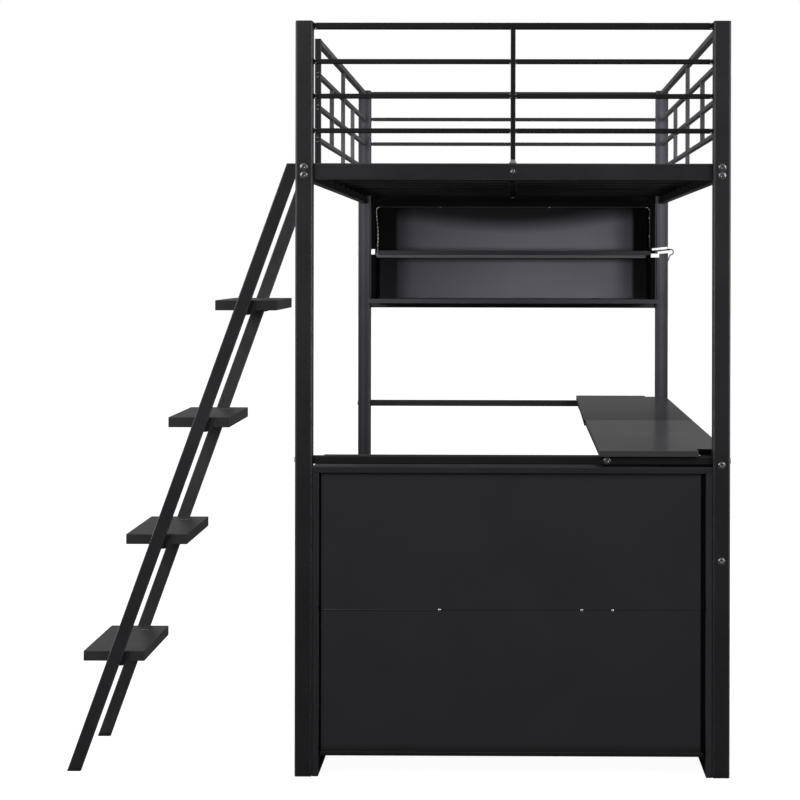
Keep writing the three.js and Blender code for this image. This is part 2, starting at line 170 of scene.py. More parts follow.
def finish(name, base, rough, specular=0.5, grain=(60, 60, 60), grain_depth=0.0,
           peel=700, peel_depth=0.02, edge=0.0, edge_size=1.2, blotch=0.2, rough_swing=0.06,
           dust_and_sheen=0.0, metallic=0.0, shade=None, rounds=False):
    """A surface finish. Colour drifts in large soft patches and along a stretched grain, edges are
    rubbed lighter, as wear and as painted highlight, and the bump is a fine orange peel or a grain.
    edge_size and the depths are in millimetres; grain and peel are in cycles per metre. shade, if
    given, is a function that paints light and shade into the colour: it makes the colour's
    lightness, from 0 to 1, from the place on the bed or the way a face points. rounds also paints
    highlights on the rounded corners of upright and level tubes."""
    material = bpy.data.materials.new(name)
    material.use_nodes = True
    g = Graph(material.node_tree)
    place = g.add("TexCoord").outputs["Object"]
    stretched = g.add("Mapping", {"Vector": place, "Scale": grain}).outputs[0]
    fibres = g.noise(stretched, 1.0, 4.0, 0.6)
    patches = g.noise(place, 5.0, 3.0, 0.55)
    fine = g.noise(place, peel, 2.0, 0.5)
    rounded = g.add("Bevel", {"Radius": edge_size * MM}, samples=6).outputs[0]
    flat = g.add("NewGeometry").outputs["Normal"]
    likeness = g.add("VectorMath", {0: rounded, 1: flat}, operation="DOT_PRODUCT").outputs["Value"]
    corner = g.remap(likeness, 0.999, 0.9, 0.0, 1.0)
    # Painted highlights on the rounded corners of upright and level tubes
    if rounds:
        parts = g.add("SeparateXYZ", {0: flat}).outputs
        sizes = [g.math("ABSOLUTE", parts[axis]) for axis in "XYZ"]
        largest = g.math("MAXIMUM", sizes[0], g.math("MAXIMUM", sizes[1], sizes[2]))
        corner = g.math("MAXIMUM", corner, g.remap(largest, 0.985, 0.92, 0.0, 1.0))
    rubbed_and_highlit = g.math("MULTIPLY", corner, g.remap(g.noise(place, 38.0, 3.0, 0.6), 0.35, 0.7, 0.35, 1.0))
    dark = tuple(c * (1 - blotch) for c in base[:3]) + (1.0,)
    pale = tuple(c * (1 + blotch) for c in base[:3]) + (1.0,)
    colour = g.mix(g.remap(patches, 0.3, 0.7, 0.0, 1.0), dark, pale)
    streak = tuple(c * (1 + 1.6 * blotch) for c in base[:3]) + (1.0,)
    colour = g.mix(g.remap(fibres, 0.45, 0.75, 0.0, 0.6), colour, streak)
    # Lighter edges: wear, and painted highlights where light catches them
    if edge:
        bright = tuple(c + edge for c in base[:3]) + (1.0,)
        colour = g.mix(g.math("MULTIPLY", rubbed_and_highlit, 0.8), colour, bright)
    # Upward faces drift towards grey: dust, and painted light on the tops
    if dust_and_sheen:
        level = g.add("SeparateXYZ", {0: flat}).outputs["Z"]
        lying = g.math("MULTIPLY", g.remap(level, 0.6, 1.0, 0.0, 1.0),
                       g.remap(patches, 0.3, 0.7, 0.5 * dust_and_sheen, dust_and_sheen))
        colour = g.mix(lying, colour, grey(0.30))
    # Painted light and shade: the shade function sets how much of the colour is kept
    if shade:
        colour = g.mix(shade(g), grey(0.0005), colour)
    roughness = g.math("ADD", rough - rough_swing / 2,
                       g.math("MULTIPLY", rough_swing, g.remap(patches, 0.3, 0.7, 0.0, 1.0)))
    height = g.math("ADD", g.math("MULTIPLY", fine, peel_depth),
                    g.math("MULTIPLY", fibres, grain_depth))
    bump = g.add("Bump", {"Height": height, "Normal": rounded, "Strength": 1.0,
                          "Distance": MM}).outputs[0]
    shader = g.add("BsdfPrincipled", {
        "Base Color": colour, "Roughness": roughness, "Normal": bump, "Metallic": metallic,
        "Specular IOR Level": specular})
    g.add("OutputMaterial", {"Surface": shader.outputs[0]})
    return material


def shelf_shade(g):
    """How light the shelf unit's back is, as painted shade: painted shadow beside the side boards, in an
    arch at the top and under the middle board, and painted light growing to the right.
    """
    x, _, z = g.bed_place()
    arch_foot, arch_rise, arch_reach = 1452.0, 78.0, 330.0
    middle_board, below_middle, outer_face = 1267.0, 1271.0, 468.5
    left = g.remap(x, -403.0, -390.0, 0.0, 1.0)
    right = g.remap(x, 412.0, 400.0, 0.0, 1.0)
    rise = g.math("POWER", g.math("DIVIDE", g.math("SUBTRACT", z, arch_foot), arch_rise), 2.0)
    reach = g.math("POWER", g.math("DIVIDE", g.math("ABSOLUTE", x), arch_reach), 2.0)
    arch = g.remap(g.math("ADD", rise, reach), 0.40, 1.9, 0.07, 1.0)
    top = g.remap(z, 1436.0, 1380.0, 0.12, 1.0)
    from_board = g.math("ABSOLUTE", g.math("SUBTRACT", z, middle_board))
    under_board = g.remap(from_board, 4.0, 24.0, 0.03, 1.0)
    upper_bay = g.remap(z, below_middle, below_middle + 1.0, 0.0, 1.0)
    ceiling = g.math("MULTIPLY", g.math("MULTIPLY", arch, top),
                     g.math("MAXIMUM", under_board, upper_bay))
    across = g.remap(x, -400.0, 400.0, 0.5, 1.0)
    lit = g.math("MULTIPLY", g.math("MULTIPLY", left, right), g.math("MULTIPLY", ceiling, across))
    lowest = g.math("MULTIPLY", g.remap(z, 1275.0, 1265.0, 0.35, 1.0),
                    g.remap(x, -450.0, 450.0, 0.22, 0.10))
    beside = g.remap(g.math("ABSOLUTE", x), outer_face, outer_face + 1.0, 0.0, 0.9)
    return g.math("MAXIMUM", g.math("MAXIMUM", lit, lowest), beside)


def strip_shade(g):
    """Painted light and shade on the light strip: pale up the left board and along the middle one, and
    dark along the top.
    """
    x, _, z = g.bed_place()
    turned = g.ramp(x, [(-470, 1.0), (-442, 1.0), (-430, 0.18),
                        (430, 0.18), (446, 0.22), (470, 0.22)])
    return g.math("MAXIMUM", turned, g.remap(z, 1280.0, 1275.0, 0.0, 0.8))


def panel_shade(g):
    """The bookcase's back panel falls into shadow just above the bottom board."""
    return g.remap(g.bed_place()[2], 59.0, 78.0, 0.3, 1.0)


def seam_shade(g):
    """Painted shade: the far desk board is darker towards the seam."""
    y = g.bed_place()[1]
    return g.remap(y, 1000.0, 1700.0, 0.45, 1.0)


def post_shade(g):
    """Painted highlights and shade: soft upright bands down the far posts' faces, which are darker below
    the shelf unit.
    """
    x, _, z = g.bed_place()
    bands = g.ramp(x, [(-527, 0.3), (-509, 0.7), (-499, 0.4), (-485, 0.9),
                       (485, 1.0), (494, 0.6), (502, 1.0), (512, 0.8), (527, 0.3)])
    below = g.remap(z, 1020.0, 1300.0, 0.48, 1.0)
    return g.math("MULTIPLY", bands, below)


def near_post_shade(g):
    """Painted light and shade: the near posts are lighter above the bookcase, and on the right."""
    x, _, z = g.bed_place()
    upward = g.remap(z, 700.0, 850.0, 0.62, 1.0)
    rightward = g.remap(x, -400.0, 400.0, 0.8, 1.0)
    return g.math("MULTIPLY", upward, rightward)


def under_shade(g):
    """Painted shade: the underside is darker away from the near end."""
    return g.remap(g.bed_place()[1], 150.0, 1200.0, 1.0, 0.16)


def below_shade(g):
    """The side rails are dark but for their bottom faces, which the floor lights."""
    normal = g.add("NewGeometry").outputs["Normal"]
    downward = g.add("SeparateXYZ", {0: normal}).outputs["Z"]
    return g.remap(downward, -0.4, -0.9, 0.05, 1.0)


def guard_shade(g):
    """Painted shade: the left guard's end bar is darker than the bars that run away from it."""
    x, y, _ = g.bed_place()
    past_end_bar = g.remap(y, 380.0, 392.0, 0.12, 1.0)
    right_guard = g.remap(x, 0.0, 1.0, 0.0, 1.0)
    return g.math("MAXIMUM", past_end_bar, right_guard)


STEEL_SKIN = {"peel": 850, "peel_depth": 0.012}
SHELF_SKIN = {"grain": (22, 420, 420), "grain_depth": 0.02, "peel": 1500, "peel_depth": 0.008}
DESK_SKIN = {"grain": (420, 18, 420), "grain_depth": 0.002, "peel": 1500, "peel_depth": 0.001,
             "blotch": 0.05, "rough_swing": 0.03}

STEEL = finish("powder_coat", grey(0.017, 1.16), 0.42, specular=0.45, edge=0.075, edge_size=2.6,
               blotch=0.22, rough_swing=0.10, dust_and_sheen=0.01, rounds=True, **STEEL_SKIN)
# The powder coat's copies below are lit and shaded versions of the one black coat: their base colours,
# edges and shade functions carry painted light and shade
STEEL_LOW = finish("powder_coat_inner", grey(0.009, 1.12), 0.46, specular=0.30, edge=0.012,
                   edge_size=1.2, blotch=0.18, rough_swing=0.08, **STEEL_SKIN)
STEEL_NEAR = finish("powder_coat_near", grey(0.022, 1.16), 0.42, specular=0.42, edge=0.07,
                    edge_size=2.6, blotch=0.16, rough_swing=0.10, shade=near_post_shade,
                    rounds=True, **STEEL_SKIN)
STEEL_UNDER = finish("powder_coat_under", grey(0.034, 1.05), 0.6, specular=0.0, blotch=0.3,
                     edge=0.02, edge_size=2.0, shade=under_shade, **STEEL_SKIN)
STEEL_SIDE = finish("powder_coat_side", grey(0.090, 1.05), 0.6, specular=0.05, blotch=0.15,
                    shade=below_shade, **STEEL_SKIN)
STEEL_FAR = finish("powder_coat_far", grey(0.118, 1.16), 0.45, specular=0.12, edge=0.05,
                   edge_size=2.6, blotch=0.10, rough_swing=0.10, shade=post_shade, **STEEL_SKIN)
STEEL_LIT = finish("powder_coat_lit", grey(0.038, 1.08), 0.42, specular=0.45, edge=0.08,
                    edge_size=2.0, blotch=0.30, rough_swing=0.10, rounds=True, **STEEL_SKIN)
STEEL_GUARD = finish("powder_coat_guard", grey(0.085, 1.10), 0.42, specular=0.40, edge=0.04,
                     edge_size=2.0, blotch=0.35, rough_swing=0.10, shade=guard_shade,
                     **STEEL_SKIN)
# Pale weld finish: painted glints on the beads
WELD_GLINT = finish("weld_bead_glint", grey(0.34, 1.02), 0.35, specular=0.5, metallic=0.4, peel=2500,
              peel_depth=0.01, edge=0.3, edge_size=0.8, blotch=0.3)
PLASTIC = finish("moulded_plastic", grey(0.010, 1.05), 0.5, specular=0.4, peel=1400,
                 peel_depth=0.02, edge=0.02, blotch=0.15)
DESK = finish("desk_laminate", grey(0.060, 1.05), 0.20, specular=0.28, edge=0.06, edge_size=1.2,
              **DESK_SKIN)
# A shaded copy of the desk laminate: painted shade
DESK_FAR = finish("desk_laminate_far", grey(0.058, 1.05), 0.24, specular=0.12, edge=0.04,
                  edge_size=1.0, shade=seam_shade, **DESK_SKIN)
SHELF = finish("shelf_laminate", grey(0.021, 1.16), 0.42, specular=0.40, grain=(22, 420, 420),
               grain_depth=0.03, peel=1500, peel_depth=0.01, edge=0.04, edge_size=1.0, blotch=0.10)
# Lit and shaded copies of the shelf laminate: their base colours and lighter edges carry painted light
# and shade
SHELF_FAR = finish("shelf_laminate_far", grey(0.005, 1.6), 0.45, specular=0.25, edge=0.02,
                   edge_size=1.2, blotch=0.08, **SHELF_SKIN)
SHELF_SIDE = finish("shelf_laminate_side", grey(0.0015, 1.1), 0.6, specular=0.02, blotch=0.1,
                    **SHELF_SKIN)
SHELF_FOOT = finish("shelf_laminate_foot", grey(0.012, 1.4), 0.45, specular=0.35, edge=0.02,
                    edge_size=1.2, blotch=0.08, **SHELF_SKIN)
SHELF_LOW = finish("bookcase_laminate_low", grey(0.010, 1.16), 0.42, specular=0.35, edge=0.10,
                   edge_size=1.2, blotch=0.12, **SHELF_SKIN)
SHELF_RIGHT = finish("bookcase_laminate_right", grey(0.030, 1.16), 0.40, specular=0.40, edge=0.06,
                     edge_size=1.2, blotch=0.12, **SHELF_SKIN)
SHELF_TOP = finish("bookcase_laminate_top", grey(0.021, 1.18), 0.36, specular=0.5, edge=0.12,
                   edge_size=1.2, blotch=0.08, **SHELF_SKIN)
PANEL = finish("back_hardboard", grey(0.022, 1.17), 0.58, specular=0.35, grain=(300, 300, 16),
               grain_depth=0.02, peel=900, peel_depth=0.03, edge=0.03, edge_size=0.8, blotch=0.08,
               shade=panel_shade)
SHELF_BACK = finish("shelf_hardboard", grey(0.114, 1.16), 0.6, specular=0.04, grain=(300, 300, 16),
                    grain_depth=0.02, peel=900, peel_depth=0.02, blotch=0.06, shade=shelf_shade)
TREAD = finish("tread_laminate", grey(0.034, 1.03), 0.34, specular=0.50, grain=(420, 22, 420),
               grain_depth=0.02, peel=1500, peel_depth=0.008, edge=0.05, edge_size=1.2, blotch=0.08)
# Bolt heads: the near-white rims are painted glints
BOLT = finish("bolt_black_zinc", grey(0.24, 1.05), 0.26, specular=0.5, metallic=0.9, peel=2500,
              peel_depth=0.004, edge=0.8, edge_size=0.8, blotch=0.2)
GAP_DARK = finish("shadow_gap", grey(0.002), 0.7, specular=0.1, peel=900, peel_depth=0.02)
RUBBER = finish("lead_rubber", grey(0.005), 0.5, specular=0.25, peel=2500, peel_depth=0.006,
                blotch=0.15)
WHITE = finish("connector_white", grey(0.92, 0.99), 0.38, specular=0.5, peel=1800, peel_depth=0.01,
               blotch=0.03, edge=0.02, edge_size=0.4)
STRIP = finish("strip_silicone", grey(0.055, 1.06), 0.40, specular=0.2, peel=1500, peel_depth=0.01,
               edge=0.05, edge_size=0.6, blotch=0.1, shade=strip_shade)
DIODE = finish("diode_white", grey(0.78, 0.92), 0.3, specular=0.5, peel=3000, peel_depth=0.005,
               blotch=0.05)
PLATED = finish("plated_steel", grey(0.55, 0.97), 0.28, specular=0.5, metallic=1.0, peel=2500,
                peel_depth=0.003, blotch=0.08, edge=0.1, edge_size=0.4)

# Each node takes its slot's finish, but for those that NODE_LOOKS names. Most of those are lit or shaded
# copies of the slot's finish, with painted light and shade.

SLOT_LOOKS = {"steel": STEEL, "foot_plastic": PLASTIC, "desk_board": DESK, "shelf_board": SHELF,
              "back_panel": PANEL, "tread_board": TREAD, "led_strip": WHITE, "lead": RUBBER}
for part in frame["record"]["subparts"]:
    node = frame["nodes"][part["node"]]
    node.data.materials.clear()
    node.data.materials.append(SLOT_LOOKS[part["material_slot"]])
NODE_LOOKS = {
    SHELF_BACK: ["shelf_back"],
    SHELF_FAR: ["shelf_middle"],
    SHELF_FOOT: ["shelf_bottom"],
    SHELF_LOW: ["bookcase_bottom"],
    SHELF_RIGHT: ["bookcase_side_right"],
    SHELF_SIDE: ["shelf_side_left", "shelf_side_right", "shelf_top"],
    SHELF_TOP: ["bookcase_top"],
    STEEL_FAR: ["post_far_left", "post_far_right"],
    STEEL_NEAR: ["post_near_left", "post_near_right"],
    STEEL_GUARD: ["guard_left", "guard_right"],
    STEEL_LIT: ["ladder_stringer_far"],
    STEEL_SIDE: ["deck_rail_left", "deck_rail_right"],
    STEEL_LOW: ["guard_near", "desk_rail_near", "desk_rail_far", "shelf_support_rail"],
    STEEL_UNDER: ["deck_centre_beam", "deck_rail_far"] + [f"slat_{i}" for i in range(1, 11)],
}
for look, names in NODE_LOOKS.items():
    for name in names:
        frame["nodes"][name].data.materials.clear()
        frame["nodes"][name].data.materials.append(look)


# Meshes

class Shape:
    """Gathers closed bodies, in the bed's millimetres, into one mesh."""

    def __init__(self):
        self.points, self.faces = [], []

    def body(self, points, faces, turn=None):
        start = len(self.points)
        self.points += [tuple(turn @ Vector(p)) if turn else tuple(p) for p in points]
        self.faces += [tuple(start + i for i in face) for face in faces]

    def block(self, low, high, radius=0.6, segments=2, turn=None):
        """A box with rounded edges."""
        bm = bmesh.new()
        bmesh.ops.create_cube(bm, size=1.0)
        size = [h - l for l, h in zip(low, high)]
        middle = [(h + l) / 2 for l, h in zip(low, high)]
        for v in bm.verts:
            v.co = Vector([c * s + m for c, s, m in zip(v.co, size, middle)])
        bmesh.ops.bevel(bm, geom=bm.edges[:], offset=min(radius, min(size) * 0.45),
                        offset_type="OFFSET", segments=segments, profile=0.5, affect="EDGES")
        bm.verts.index_update()
        self.body([v.co.copy() for v in bm.verts], [[v.index for v in f.verts] for f in bm.faces],
                  turn)
        bm.free()

    def rings(self, rings, loop=False, turn=None):
        """A skin over rings that all have the same number of points. It is closed at its ends, or
        from the last ring back to the first if it is a loop."""
        n = len(rings[0])
        faces = []
        for k in range(len(rings) if loop else len(rings) - 1):
            a, b = k * n, ((k + 1) % len(rings)) * n
            faces += [(a + i, a + (i + 1) % n, b + (i + 1) % n, b + i) for i in range(n)]
        if not loop:
            last = (len(rings) - 1) * n
            faces += [tuple(range(n - 1, -1, -1)), tuple(last + i for i in range(n))]
        self.body([p for ring in rings for p in ring], faces, turn)

    def make(self, name, material, slot, sharp=35):
        mesh = bpy.data.meshes.new(name)
        mesh.from_pydata([at(*p) for p in self.points], [], self.faces)
        bm = bmesh.new()
        bm.from_mesh(mesh)
        bmesh.ops.recalc_face_normals(bm, faces=bm.faces[:])
        bm.to_mesh(mesh)
        bm.free()
        mesh.shade_smooth()
        mesh.set_sharp_from_angle(angle=math.radians(sharp))
        piece = bpy.data.objects.new(name, mesh)
        bpy.context.scene.collection.objects.link(piece)
        mesh.materials.append(material)
        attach(piece, "root")
        return piece


def facing(x, y, z, direction):
    """A matrix that puts a shape made along +Z at a place, with +Z turned to the direction."""
    turn = Vector(direction).to_track_quat("Z", "Y").to_matrix().to_4x4()
    return Matrix.Translation((x, y, z)) @ turn


def circle(radius, z, count=24):
    return [(radius * math.cos(i * math.tau / count),
             radius * math.sin(i * math.tau / count), z) for i in range(count)]


def hexagon(radius, z, count=24):
    """count points along a hexagon's edges, in step with circle()."""
    points = []
    for i in range(count):
        turn = i * math.tau / count
        within = (turn % (math.tau / 6)) - math.tau / 12
        reach = radius * math.cos(math.tau / 12) / math.cos(within)
        points.append((reach * math.cos(turn), reach * math.sin(turn), z))
    return points


def add_bolt(shape, x, y, z, direction, size=1.0):
    """A button-head bolt with a hexagon socket, on a washer."""
    washer, head, crown, socket, dome_steps = 9.4, 7.7, 3.8, 3.2, 5
    turn = facing(x, y, z, direction) @ Matrix.Scale(size, 4)
    shape.rings([circle(washer, -0.2), circle(washer, 0.5), circle(washer - 0.4, 0.9),
                 circle(4.0, 0.9)], turn=turn)
    dome = [circle(head - 0.3, 0.8), circle(head, 1.1), circle(head - 0.2, 1.5)]
    for k in range(1, dome_steps + 1):
        angle = k / (dome_steps + 1) * math.pi / 2
        dome.append(circle(crown + 3.7 * math.cos(angle), 1.5 + 1.4 * math.sin(angle)))
    dome += [circle(crown - 0.3, 2.95), hexagon(socket, 2.8), hexagon(socket - 0.1, 1.4),
             hexagon(1.0, 1.2)]
    shape.rings(dome, turn=turn)


# The light strip's lead: its exit, its route and the coil that takes up the rest

LEAD_WIDE = 3.5
LEAD_DROP_X = 508
COIL = {"x": 455, "y": 1935, "outer": 21.0, "inner": 17.5, "low": 2.0, "high": 5.5}
COIL_TURNS = 3.5
PLUG_X, PLUG_Y, PLUG_Z = COIL["x"] - COIL["outer"], COIL["y"] + 12.5, 4.7
GRIP_Y = COIL["y"] + 25.5
LEAD_ROUTE = [
    (512.5, 1756, 1290), (518, 1756.5, 1290.6), (523.5, 1760, 1290.4), (528, 1772, 1287.5),
    (531, 1790, 1282.5), (533, 1815, 1278.5), (534, 1850, 1276.5), (533.8, 1900, 1274.5),
    (533, 1945, 1272), (532, 1980, 1266), (530, 1999, 1255), (523, 2007.5, 1240), (514, 2008.5, 1221),
    (509, 2007, 1196), (508, 2005.5, 1150), (508, 2005, 1050), (508, 2005, 850),
    (508, 2005, 650), (508, 2005, 450), (508, 2005, 250), (508, 2005.5, 120),
    (508, 2006, 60), (506, 2007, 27), (499, 2007.5, 8), (489, 2007.5, 2.2),
    (480, 2003, 2), (476.5, 1993, 2), (476, 1975, 2), (476, 1947.8, 2),
]


def ease(value, start, end):
    share = max(0.0, min(1.0, (value - start) / (end - start)))
    return share * share * (3 - 2 * share)


def coil_points(step=15):
    """The coil's turns, clockwise from above: outer, inner, then both again on top."""
    points = []
    for turned in range(0, round(360 * COIL_TURNS) + 1, step):
        inward = ease(turned, 240, 310) - ease(turned, 900, 960)
        radius = COIL["outer"] + (COIL["inner"] - COIL["outer"]) * inward
        z = COIL["low"] + (COIL["high"] - COIL["low"]) * ease(turned, 550, 620)
        angle = -math.radians(turned)
        points.append((COIL["x"] + radius * math.cos(angle),
                       COIL["y"] + radius * math.sin(angle), z))
    return points


def centripetal(points, steps=6):
    """Points on a smooth curve through the given ones, which doesn't overshoot between them."""
    p = [Vector(q) for q in points]
    p = [2 * p[0] - p[1]] + p + [2 * p[-1] - p[-2]]
    out = []
    for a, b, c, d in zip(p, p[1:], p[2:], p[3:]):
        t1 = (b - a).length ** 0.5
        t2 = t1 + (c - b).length ** 0.5
        t3 = t2 + (d - c).length ** 0.5
        for k in range(steps):
            t = t1 + (t2 - t1) * k / steps
            ab = a * ((t1 - t) / t1) + b * (t / t1)
            bc = b * ((t2 - t) / (t2 - t1)) + c * ((t - t1) / (t2 - t1))
            cd = c * ((t3 - t) / (t3 - t2)) + d * ((t - t2) / (t3 - t2))
            abc = ab * ((t2 - t) / t2) + bc * (t / t2)
            bcd = bc * ((t3 - t) / (t3 - t1)) + cd * ((t - t1) / (t3 - t1))
            out.append(abc * ((t2 - t) / (t2 - t1)) + bcd * ((t - t1) / (t2 - t1)))
    return out + [p[-2]]


def make_cord():
    """The lead itself, as one curve from the shelf unit to its plug."""
    tail = [(PLUG_X, COIL["y"] + 6, 5.2), (PLUG_X, PLUG_Y, PLUG_Z)]
    line = centripetal(LEAD_ROUTE)[:-1] + LEAD_ROUTE[-1:] + coil_points() + tail
    data = bpy.data.curves.new("led_lead_cord", "CURVE")
    data.dimensions = "3D"
    data.bevel_depth = LEAD_WIDE / 2 * MM
    data.bevel_resolution = 4
    data.use_fill_caps = True
    spline = data.splines.new("POLY")
    spline.points.add(len(line) - 1)
    for target, point in zip(spline.points, line):
        target.co = (*at(*point), 1.0)
    data.materials.append(RUBBER)
    spline.use_smooth = True
    lead = bpy.data.objects.new("led_lead_cord", data)
    bpy.context.scene.collection.objects.link(lead)
    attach(lead, "root")
    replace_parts(lead, "led_lead", "led_lead_coil")
    return lead


def make_plug_grip():
    """The plug's moulded grip, with its ribbed sleeve towards the lead."""
    plug = Shape()
    turn = facing(PLUG_X, PLUG_Y, PLUG_Z, (0, 1, 0))
    sleeve = [(1.9, 0), (2.1, 1), (1.9, 1.8), (1.95, 2.6), (2.3, 3.2), (2.1, 4.4), (2.2, 5.0),
              (2.6, 5.6), (2.4, 6.8), (2.5, 7.4), (2.9, 8.0), (2.7, 9.2), (2.9, 9.8), (3.2, 10.6),
              (3.2, 13.5)]
    plug.rings([circle(r, z, 16) for r, z in sleeve], turn=turn)
    plug.block((PLUG_X - 8, GRIP_Y, 0.7), (PLUG_X + 8, GRIP_Y + 24, 8.7), 1.8, 3)
    for k in range(4):
        y = GRIP_Y + 6 + 3.4 * k
        plug.block((PLUG_X - 5, y, 8.3), (PLUG_X + 5, y + 1.6, 9.0), 0.35, 2)
    grip = plug.make("lead_plug_grip", RUBBER, "lead")
    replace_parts(grip, "led_plug")
    return grip


def make_plug_contacts():
    """The plug's metal shell, and the white tongue inside it."""
    y0, y1 = GRIP_Y + 23, GRIP_Y + 37
    shell = Shape()
    for low, high in (((-6, 2.35), (6, 2.85)), ((-6, 6.35), (6, 6.85)),
                      ((-6, 2.35), (-5.5, 6.85)), ((5.5, 2.35), (6, 6.85))):
        shell.block((PLUG_X + low[0], y0, low[1]), (PLUG_X + high[0], y1, high[1]), 0.18, 2)
    metal = shell.make("lead_plug_shell", PLATED, "lead")
    tongue = Shape()
    tongue.block((PLUG_X - 5.4, y0, 2.9), (PLUG_X + 5.4, y1 - 0.6, 4.6), 0.2, 2)
    inside = tongue.make("lead_plug_tongue", WHITE, "lead")
    return metal, inside


def make_relief():
    """The tapered, ribbed boot where the lead leaves the shelf unit."""
    relief = Shape()
    first, second = (Vector(p) for p in LEAD_ROUTE[:2])
    out = (second - first).normalized()
    turn = facing(*(first - out * 3), out)
    ribs = [(3.3, 0), (3.5, 0.6), (3.4, 2.2), (2.7, 2.6), (2.7, 3.4), (3.1, 3.8), (3.0, 5.0),
            (2.4, 5.4), (2.4, 6.2), (2.7, 6.6), (2.6, 7.8), (2.0, 8.4)]
    relief.rings([circle(r, z, 16) for r, z in ribs], turn=turn)
    return relief.make("lead_relief", RUBBER, "lead")


def make_tie():
    """A band round all the turns of the coil, on the side nearest the bed's near end."""
    tie = Shape()
    mid, half, high = (COIL["inner"] + COIL["outer"]) / 2, 3.85, 7.6
    outline = [(-half, 0.6), (-half + 0.5, 0.12), (half - 0.5, 0.12), (half, 0.6),
               (half, high - 0.9), (half - 0.9, high), (-half + 0.9, high), (-half, high - 0.9)]
    rings = []
    for shift, grow in ((-4, 0.0), (-4, 0.35), (4, 0.35), (4, 0.0)):
        rings.append([(COIL["x"] + shift, COIL["y"] - mid + a * (1 + grow * 0.12),
                       b + (grow if b > 1 else 0)) for a, b in outline])
    tie.rings(rings, loop=True)
    return tie.make("lead_tie", PLASTIC, "lead")


def make_clips():
    """Saddle clips that hold the lead to the back of the far right post."""
    clips = Shape()
    section = ((2.0, -3.5), (3.1, -3.5), (3.1, 3.5), (2.0, 3.5))
    for z in (1120, 700, 260):
        clips.block((LEAD_DROP_X - 9, BED_LENGTH + 0.2, z - 5),
                    (LEAD_DROP_X + 9, BED_LENGTH + 1.6, z + 5), 0.5, 2)
        arc = []
        for k in range(13):
            angle = math.pi * k / 12
            across, out_by = math.cos(angle), math.sin(angle)
            arc.append([(LEAD_DROP_X + r * across, BED_LENGTH + 4.6 + r * out_by, z + dz)
                        for r, dz in section])
        first, last = [[(LEAD_DROP_X + r * side, BED_LENGTH + 1.2, z + dz) for r, dz in section]
                       for side in (1, -1)]
        clips.rings([first] + arc + [last])
    return clips.make("lead_clips", PLASTIC, "lead")


lead = make_cord()
grip = make_plug_grip()
metal, inside = make_plug_contacts()
boot = make_relief()
band = make_tie()
holders = make_clips()


# The light strip round the shelf unit's upper bay: a ribbon stuck flat to the middle board's front
# edge, then on edge up the inside of the left board, under the top board and down the right board

STRIP_FRONT, STRIP_WIDE, STRIP_THICK = 1757.0, 9.0, 2.2
STRIP_LEFT, STRIP_RIGHT, STRIP_LOW, STRIP_HIGH, STRIP_BEND = -451.6, 450.6, 1266.6, 1429.6, 10.0


def strip_bend(cx, cz, start):
    """A quarter turn about (cx, cz) in the plane of the front, from a start angle in degrees."""
    angles = [math.radians(start - 10 * k) for k in range(10)]
    return [(cx + STRIP_BEND * math.cos(a), cz + STRIP_BEND * math.sin(a)) for a in angles]


def strip_bulge(z):
    """The ribbon stands a little off the left board half-way up."""
    return 5.5 * ease(z, 1416, 1340) - 1.5 * ease(z, 1330, 1290)


def strip_path():
    """The ribbon's centre line, as (x, z) places in the plane of the front."""
    lift = strip_bulge(1284)
    path = [(STRIP_RIGHT - 14, STRIP_LOW)] + [(x, STRIP_LOW) for x in range(400, -430, -50)]
    path += [(x + lift * ease(z, STRIP_LOW, 1278), z)
             for x, z in strip_bend(STRIP_LEFT + STRIP_BEND, STRIP_LOW + STRIP_BEND, 270)]
    path += [(STRIP_LEFT + strip_bulge(z), z) for z in range(1284, 1416, 6)]
    path += strip_bend(STRIP_LEFT + STRIP_BEND, STRIP_HIGH - STRIP_BEND, 180)
    path += [(x, STRIP_HIGH) for x in range(-420, 421, 60)]
    path += strip_bend(STRIP_RIGHT - STRIP_BEND, STRIP_HIGH - STRIP_BEND, 90)
    return path + [(STRIP_RIGHT, z) for z in range(1414, 1292, -10)]


def strip_twist(x, z):
    """How far the ribbon is turned from flat against the front to on edge."""
    if z < STRIP_LOW + 1:
        return 0.0
    if x < STRIP_LEFT + 7 and z > 1290:
        return math.pi / 2 + 0.30 * math.sin((z - 1290) / 24.0)
    return math.pi / 2 * ease(z, STRIP_LOW, 1296)


def make_strip_body():
    """The ribbon. Gives back the spots for its diodes, with the ribbon's turn at each."""
    path = strip_path()
    strip, rings, spots = Shape(), [], []
    for i, (x, z) in enumerate(path):
        before, after = path[max(i - 1, 0)], path[min(i + 1, len(path) - 1)]
        along = Vector((after[0] - before[0], after[1] - before[1])).normalized()
        side, turn = Vector((-along.y, along.x)), strip_twist(x, z)
        middle = STRIP_FRONT + 1.3 + (STRIP_WIDE / 2 - 1.0) * math.sin(turn) ** 2
        ring = []
        for a, b in ((-0.5, -0.3), (-0.46, -0.5), (0.46, -0.5), (0.5, -0.3), (0.5, 0.3),
                     (0.46, 0.5), (-0.46, 0.5), (-0.5, 0.3)):
            flat, deep = a * STRIP_WIDE, b * STRIP_THICK
            across = flat * math.cos(turn) - deep * math.sin(turn)
            back = flat * math.sin(turn) + deep * math.cos(turn)
            ring.append((x + side.x * across, middle + back, z + side.y * across))
        rings.append(ring)
        if z > 1296 and (x < STRIP_LEFT + 7 or i % 3 == 0):
            spots.append((x, z, side, turn, middle))
    strip.rings(rings)
    body = strip.make("led_strip_body", STRIP, "led_strip")
    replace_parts(body, "led_strip")
    return spots


